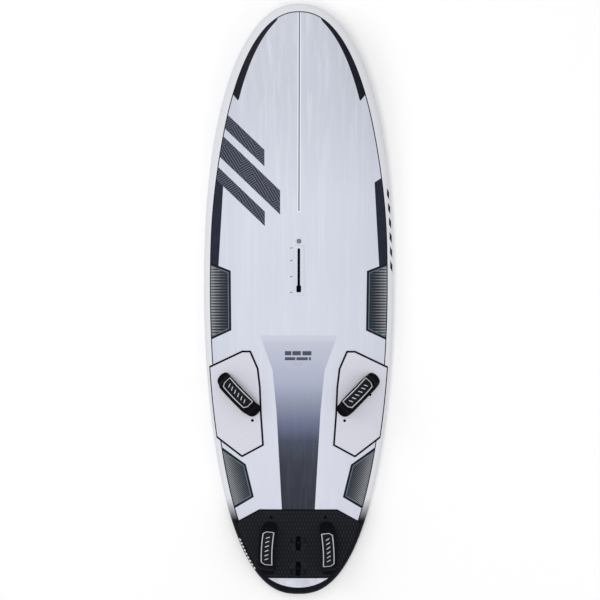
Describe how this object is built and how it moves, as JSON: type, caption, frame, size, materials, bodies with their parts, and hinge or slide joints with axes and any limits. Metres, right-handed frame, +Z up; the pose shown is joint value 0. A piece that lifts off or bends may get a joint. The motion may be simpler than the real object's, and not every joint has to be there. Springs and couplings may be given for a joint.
{
  "type": "windsurf board",
  "caption": "Freeride windsurf board with a mast track, fin box, deck vent, grip pads and tilting padded footstraps on adjustable anchors.",
  "frame": {"origin": "on the floor under the middle of the board, which lies on its flat bottom", "axes": "+Y towards the nose, +X to starboard, +Z up through the deck"},
  "size_m": [0.76, 2.36, 0.185],
  "materials": {
    "deck_finish": "satin clear-coated deck skin, pale grey with dark printed panels and lines",
    "bottom_finish": "smooth glossy painted skin",
    "core_foam": "white expanded foam",
    "black_plastic": "moulded black plastic",
    "grey_eva": "soft pale grey foam sheet with an embossed pattern",
    "black_eva": "soft black foam sheet with an embossed pattern",
    "seal_rubber": "black rubber ring",
    "vent_metal": "satin grey metal",
    "screw_steel": "stainless steel",
    "strap_cover": "padded black fabric and neoprene with stitched edges",
    "strap_webbing": "woven nylon webbing",
    "strap_panel": "moulded near-black rubber panel with a pale raised edge"
  },
  "bodies": {
    "hull": {"deck_shell": "deck_finish", "bottom_shell": "bottom_finish", "foam_core": "core_foam", "mast_track_box": "black_plastic", "fin_box": "black_plastic", "front_left_pad": "grey_eva", "front_right_pad": "grey_eva", "tail_pad": "black_eva", "vent_housing": "black_plastic", "front_left_strap_front_plate": "black_plastic", "front_left_strap_front_screw": "screw_steel", "front_left_strap_front_insert": "black_plastic", "front_left_strap_front_flap": "strap_cover", "front_left_strap_rear_plate": "black_plastic", "front_left_strap_rear_screw": "screw_steel", "front_left_strap_rear_insert": "black_plastic", "front_left_strap_rear_flap": "strap_cover", "front_right_strap_front_plate": "black_plastic", "front_right_strap_front_screw": "screw_steel", "front_right_strap_front_insert": "black_plastic", "front_right_strap_front_flap": "strap_cover", "front_right_strap_rear_plate": "black_plastic", "front_right_strap_rear_screw": "screw_steel", "front_right_strap_rear_insert": "black_plastic", "front_right_strap_rear_flap": "strap_cover", "rear_left_strap_front_plate": "black_plastic", "rear_left_strap_front_screw": "screw_steel", "rear_left_strap_front_insert": "black_plastic", "rear_left_strap_front_flap": "strap_cover", "rear_left_strap_rear_plate": "black_plastic", "rear_left_strap_rear_screw": "screw_steel", "rear_left_strap_rear_insert": "black_plastic", "rear_left_strap_rear_flap": "strap_cover", "rear_right_strap_front_plate": "black_plastic", "rear_right_strap_front_screw": "screw_steel", "rear_right_strap_front_insert": "black_plastic", "rear_right_strap_front_flap": "strap_cover", "rear_right_strap_rear_plate": "black_plastic", "rear_right_strap_rear_screw": "screw_steel", "rear_right_strap_rear_insert": "black_plastic", "rear_right_strap_rear_flap": "strap_cover", "spare_insert_front_left": "black_plastic", "spare_insert_front_right_inner": "black_plastic", "spare_insert_front_right_outer": "black_plastic", "spare_insert_rear_left": "black_plastic", "spare_insert_rear_right": "black_plastic"},
    "front_left_strap": {"front_left_strap_webbing": "strap_webbing", "front_left_strap_cover": "strap_cover", "front_left_strap_panel": "strap_panel"},
    "front_right_strap": {"front_right_strap_webbing": "strap_webbing", "front_right_strap_cover": "strap_cover", "front_right_strap_panel": "strap_panel"},
    "rear_left_strap": {"rear_left_strap_webbing": "strap_webbing", "rear_left_strap_cover": "strap_cover", "rear_left_strap_panel": "strap_panel"},
    "rear_right_strap": {"rear_right_strap_webbing": "strap_webbing", "rear_right_strap_cover": "strap_cover", "rear_right_strap_panel": "strap_panel"},
    "vent_seal": {"vent_seal": "seal_rubber"},
    "vent_screw": {"vent_screw": "vent_metal"}
  },
  "joints": [
    {"name": "front_left_strap_tilt", "type": "hinge", "parent": "hull", "child": "front_left_strap", "pos_m": [-0.23811, -0.37657, 0.11051], "axis": [0.6942, -0.7157, 0.0766], "range_deg": [-25, 25], "stiffness_Nm_per_rad": 2},
    {"name": "front_right_strap_tilt", "type": "hinge", "parent": "hull", "child": "front_right_strap", "pos_m": [0.23811, -0.37657, 0.11051], "axis": [-0.6942, -0.7157, 0.0766], "range_deg": [-25, 25], "stiffness_Nm_per_rad": 2},
    {"name": "rear_left_strap_tilt", "type": "hinge", "parent": "hull", "child": "rear_left_strap", "pos_m": [-0.11654, -0.99247, 0.08183], "axis": [-0.0559, -0.9917, -0.116], "range_deg": [-25, 25], "stiffness_Nm_per_rad": 2},
    {"name": "rear_right_strap_tilt", "type": "hinge", "parent": "hull", "child": "rear_right_strap", "pos_m": [0.11654, -0.99247, 0.08183], "axis": [0.0559, -0.9917, -0.116], "range_deg": [-25, 25], "stiffness_Nm_per_rad": 2},
    {"name": "vent_lift", "type": "slide", "parent": "hull", "child": "vent_seal", "axis": [0, 0, 1], "range_m": [0, 0.009]},
    {"name": "vent_turn", "type": "hinge", "parent": "vent_seal", "child": "vent_screw", "pos_m": [0, 0.236, 0.1142], "axis": [0, 0, 1], "range_deg": [0, 2160]}
  ],
  "couplings": [
    {"joint": "vent_turn", "follows": "vent_lift", "rad_per_m": 4188.8}
  ]
}
